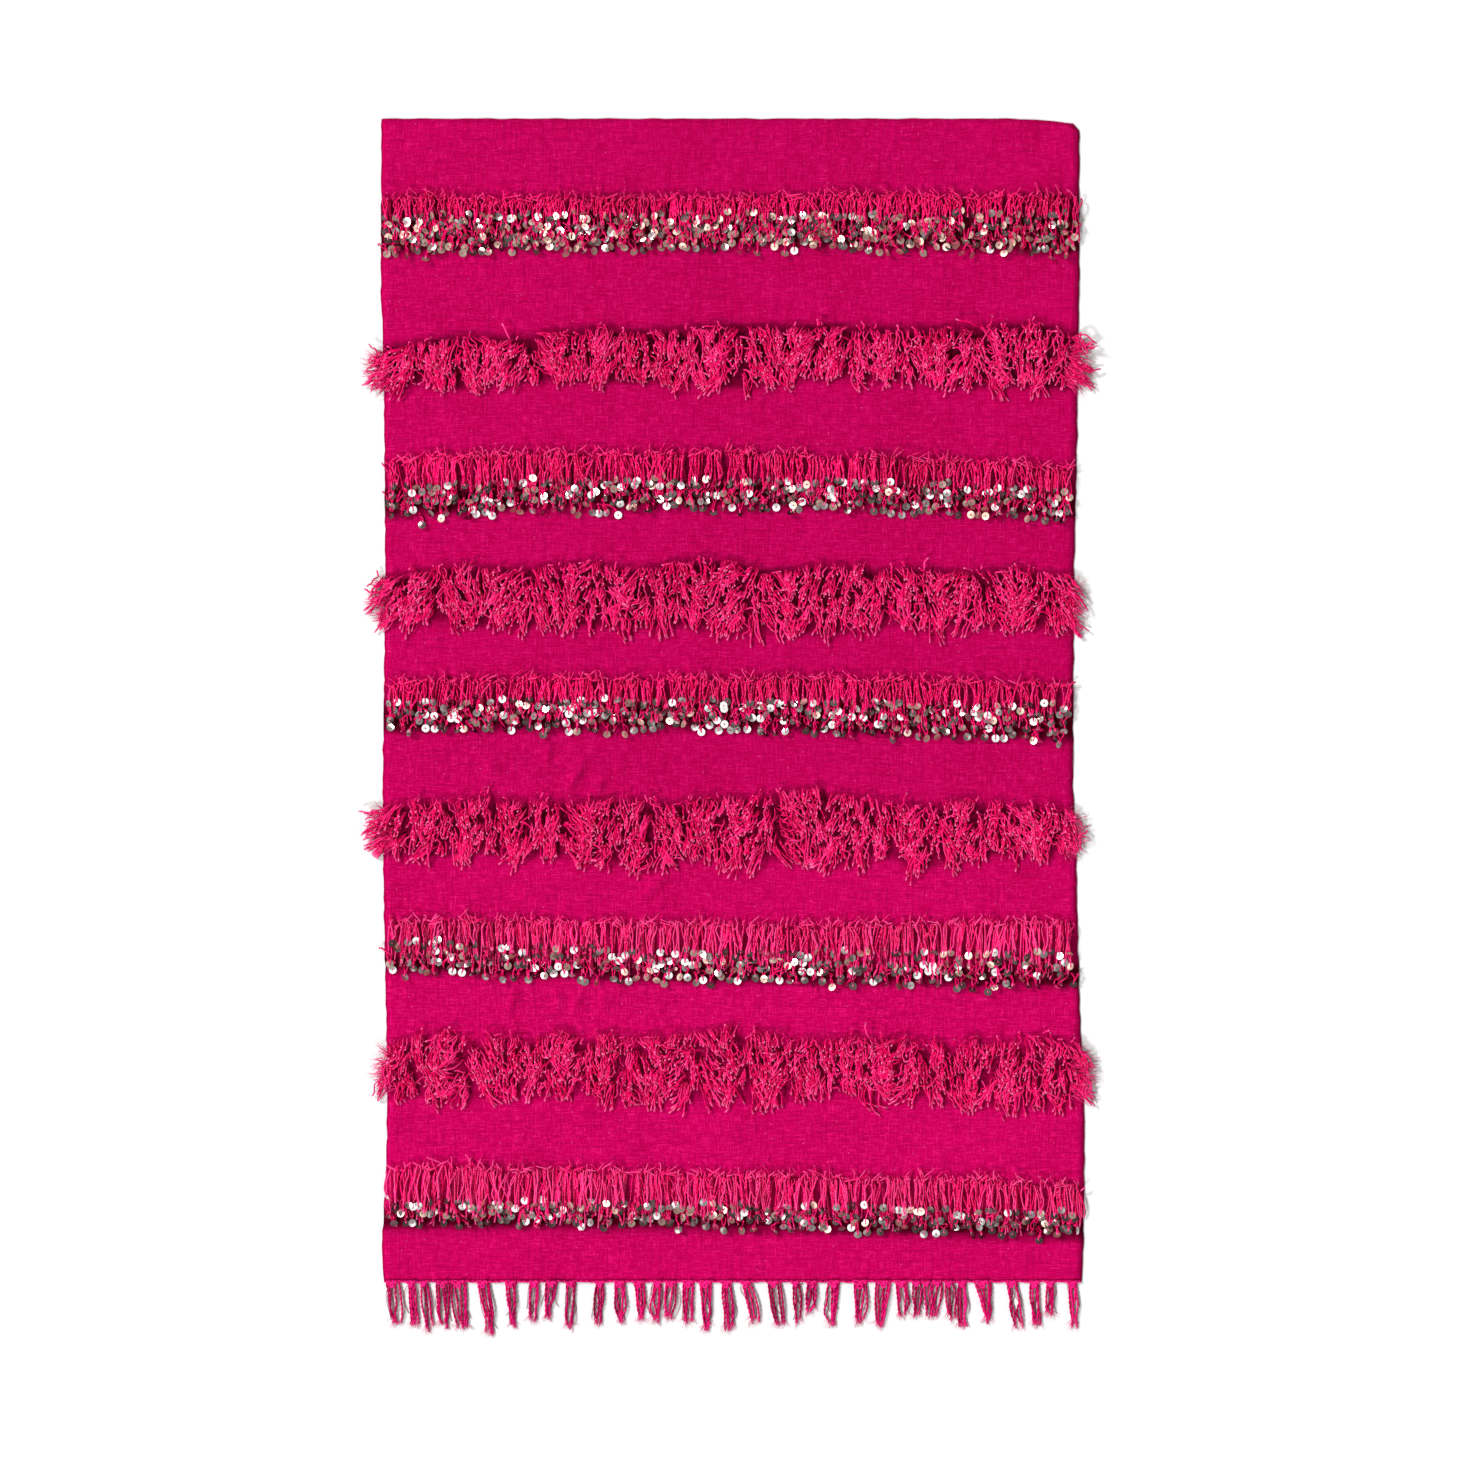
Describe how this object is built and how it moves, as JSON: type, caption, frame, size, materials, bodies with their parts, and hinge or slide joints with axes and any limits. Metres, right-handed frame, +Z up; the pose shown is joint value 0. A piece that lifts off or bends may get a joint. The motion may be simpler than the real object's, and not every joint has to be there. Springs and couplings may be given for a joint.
{
  "type": "handira wedding blanket",
  "caption": "Flat woven wool blanket with rows of cut shag, rows of looped yarn hung with metal sequins and a tasselled hem.",
  "frame": {"origin": "middle of the ground cloth, on its underside", "axes": "+Y runs along the length to the plain end, -Y to the tasselled hem; +X across the width; +Z up out of the face"},
  "size_m": [1.1573, 1.9181, 0.0214],
  "materials": {
    "cloth": "matt plain weave, slubby yarn",
    "shag_yarn": "matt cut yarn, tangled pile",
    "loop_yarn": "matt looped yarn",
    "sequin_metal": "polished and tarnished discs, silver to champagne and dark grey",
    "fringe_yarn": "matt plied yarn ends"
  },
  "bodies": {
    "root": {"ground_cloth": "cloth", "shag_1": "shag_yarn", "shag_2": "shag_yarn", "shag_3": "shag_yarn", "shag_4": "shag_yarn", "loops_1": "loop_yarn", "loops_2": "loop_yarn", "loops_3": "loop_yarn", "loops_4": "loop_yarn", "loops_5": "loop_yarn", "sequins_1": "sequin_metal", "sequins_2": "sequin_metal", "sequins_3": "sequin_metal", "sequins_4": "sequin_metal", "sequins_5": "sequin_metal", "fringe": "fringe_yarn"}
  },
  "joints": []
}
